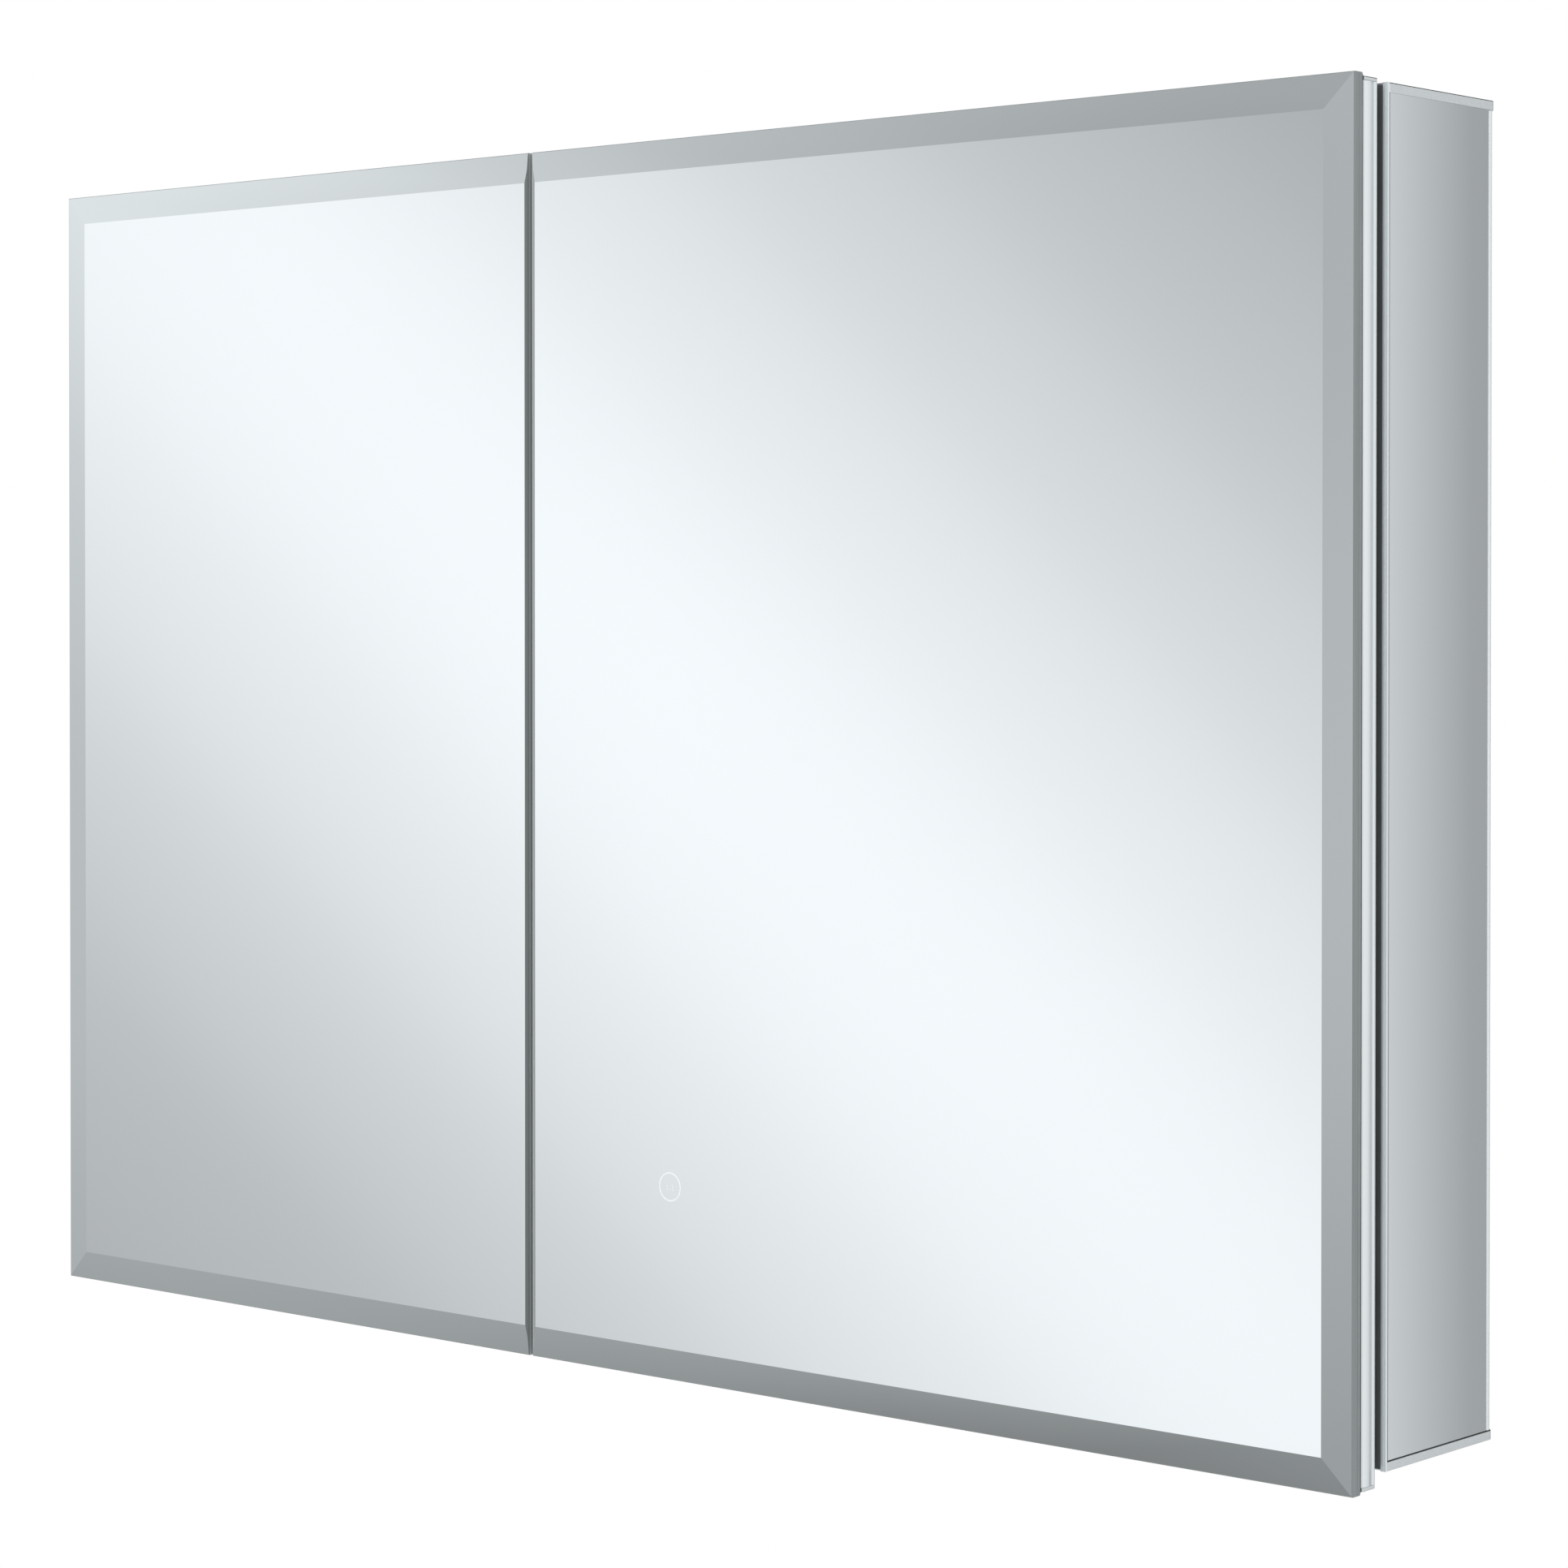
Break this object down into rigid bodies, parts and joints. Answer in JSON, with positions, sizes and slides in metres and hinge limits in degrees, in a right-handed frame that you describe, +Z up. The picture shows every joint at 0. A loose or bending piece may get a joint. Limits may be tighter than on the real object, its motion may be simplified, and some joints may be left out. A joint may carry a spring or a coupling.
{
  "type": "medicine cabinet with mirror",
  "caption": "Surface-mounted aluminium medicine cabinet with two unequal bevelled mirror doors on concealed hinges, mirrored sides, glass shelves and a touch sensor",
  "frame": {"origin": "middle of the doors' outline, on the wall plane at the back of the cabinet", "axes": "+Z up, -Y out of the wall towards the user, +X to the user's right"},
  "size_m": [1.0754, 0.1397, 0.762],
  "materials": {
    "bevelled_mirror": "bevelled silvered mirror glass, polished edges",
    "side_mirror": "silvered mirror glass, flat",
    "inner_mirror": "silvered mirror glass, flat",
    "frame_aluminium": "satin anodised extrusion",
    "cabinet_aluminium": "satin anodised sheet and extrusion",
    "backing_board": "grey rigid foam board",
    "hinge_steel": "nickel plated pressed steel",
    "shelf_glass": "clear float glass, polished edges",
    "seal_rubber": "dark moulded seal",
    "white_plastic": "fine satin moulding",
    "black_plastic": "fine satin moulding",
    "heating_film": "amber film with printed heating tracks"
  },
  "bodies": {
    "cabinet": {"side_wall_left": "cabinet_aluminium", "side_wall_right": "cabinet_aluminium", "side_mirror_left": "side_mirror", "side_mirror_right": "side_mirror", "top_panel": "cabinet_aluminium", "bottom_panel": "cabinet_aluminium", "centre_divider": "cabinet_aluminium", "back_panel": "cabinet_aluminium", "door_seal": "seal_rubber", "back_mirror_left": "inner_mirror", "shelf_comb_left_bay_left_front": "white_plastic", "shelf_comb_left_bay_right_front": "white_plastic", "shelf_comb_left_bay_left_rear": "white_plastic", "shelf_comb_left_bay_right_rear": "white_plastic", "glass_shelf_left_1": "shelf_glass", "glass_shelf_left_2": "shelf_glass", "glass_shelf_left_3": "shelf_glass", "back_mirror_right": "inner_mirror", "shelf_comb_right_bay_left_front": "white_plastic", "shelf_comb_right_bay_right_front": "white_plastic", "shelf_comb_right_bay_left_rear": "white_plastic", "shelf_comb_right_bay_right_rear": "white_plastic", "glass_shelf_right_1": "shelf_glass", "glass_shelf_right_2": "shelf_glass", "glass_shelf_right_3": "shelf_glass", "hinge_arm_left_upper": "hinge_steel", "hinge_base_left_upper": "hinge_steel", "hinge_arm_left_lower": "hinge_steel", "hinge_base_left_lower": "hinge_steel", "hinge_arm_right_upper": "hinge_steel", "hinge_base_right_upper": "hinge_steel", "hinge_arm_right_lower": "hinge_steel", "hinge_base_right_lower": "hinge_steel", "cable_gland": "black_plastic", "power_supply_box": "white_plastic"},
    "left_door": {"front_mirror_left": "bevelled_mirror", "backing_panel_left": "backing_board", "hinge_stile_left": "frame_aluminium", "meeting_stile_left": "frame_aluminium", "top_rail_left": "frame_aluminium", "bottom_rail_left": "frame_aluminium", "rear_mirror_left": "inner_mirror", "hinge_bracket_left_upper": "hinge_steel", "hinge_pin_left_upper": "hinge_steel", "hinge_bracket_left_lower": "hinge_steel", "hinge_pin_left_lower": "hinge_steel"},
    "right_door": {"front_mirror_right": "bevelled_mirror", "backing_panel_right": "backing_board", "hinge_stile_right": "frame_aluminium", "meeting_stile_right": "frame_aluminium", "top_rail_right": "frame_aluminium", "bottom_rail_right": "frame_aluminium", "rear_mirror_right": "inner_mirror", "hinge_bracket_right_upper": "hinge_steel", "hinge_pin_right_upper": "hinge_steel", "hinge_bracket_right_lower": "hinge_steel", "hinge_pin_right_lower": "hinge_steel", "touch_sensor": "black_plastic", "demister_pad": "heating_film"}
  },
  "joints": [
    {"name": "left_door_hinge", "type": "hinge", "parent": "cabinet", "child": "left_door", "pos_m": [-0.526, -0.1232, 0], "axis": [0, 0, -1], "range_deg": [0, 100]},
    {"name": "right_door_hinge", "type": "hinge", "parent": "cabinet", "child": "right_door", "pos_m": [0.526, -0.1232, 0], "axis": [0, 0, 1], "range_deg": [0, 100]}
  ]
}
